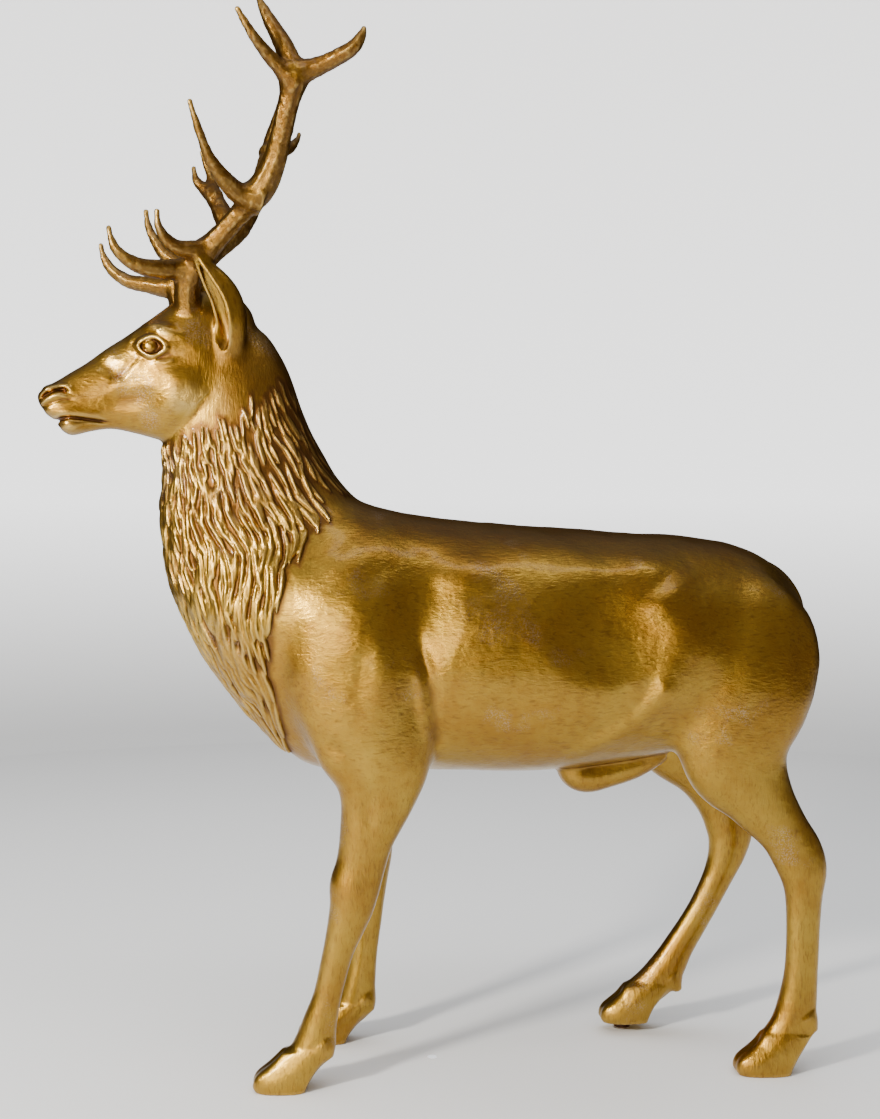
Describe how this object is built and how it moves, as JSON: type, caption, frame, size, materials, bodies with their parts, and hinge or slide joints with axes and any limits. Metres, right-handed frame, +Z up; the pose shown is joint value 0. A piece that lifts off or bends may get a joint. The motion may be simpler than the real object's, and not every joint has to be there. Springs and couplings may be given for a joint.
{
  "type": "bronze deer sculpture",
  "caption": "Life-size standing red-deer stag cast in bronze, with branched antlers, a long-haired ruff, a slightly turned head and a levelling stud under one raised hind hoof.",
  "frame": {"origin": "on the ground, under the middle of the sculpture's bounding box", "axes": "+X towards the tail (the stag looks along -X), +Y towards the stag's right side, +Z up"},
  "size_m": [1.6548, 0.7102, 2.1988],
  "materials": {
    "gilded_bronze": "polished cast bronze with a yellow-gold patina, browner in the hollows and on the antlers, paler where it is rubbed",
    "stud_iron": "dark rusted stud"
  },
  "bodies": {
    "root": {"stag": "gilded_bronze", "levelling_stud": "stud_iron"}
  },
  "joints": []
}
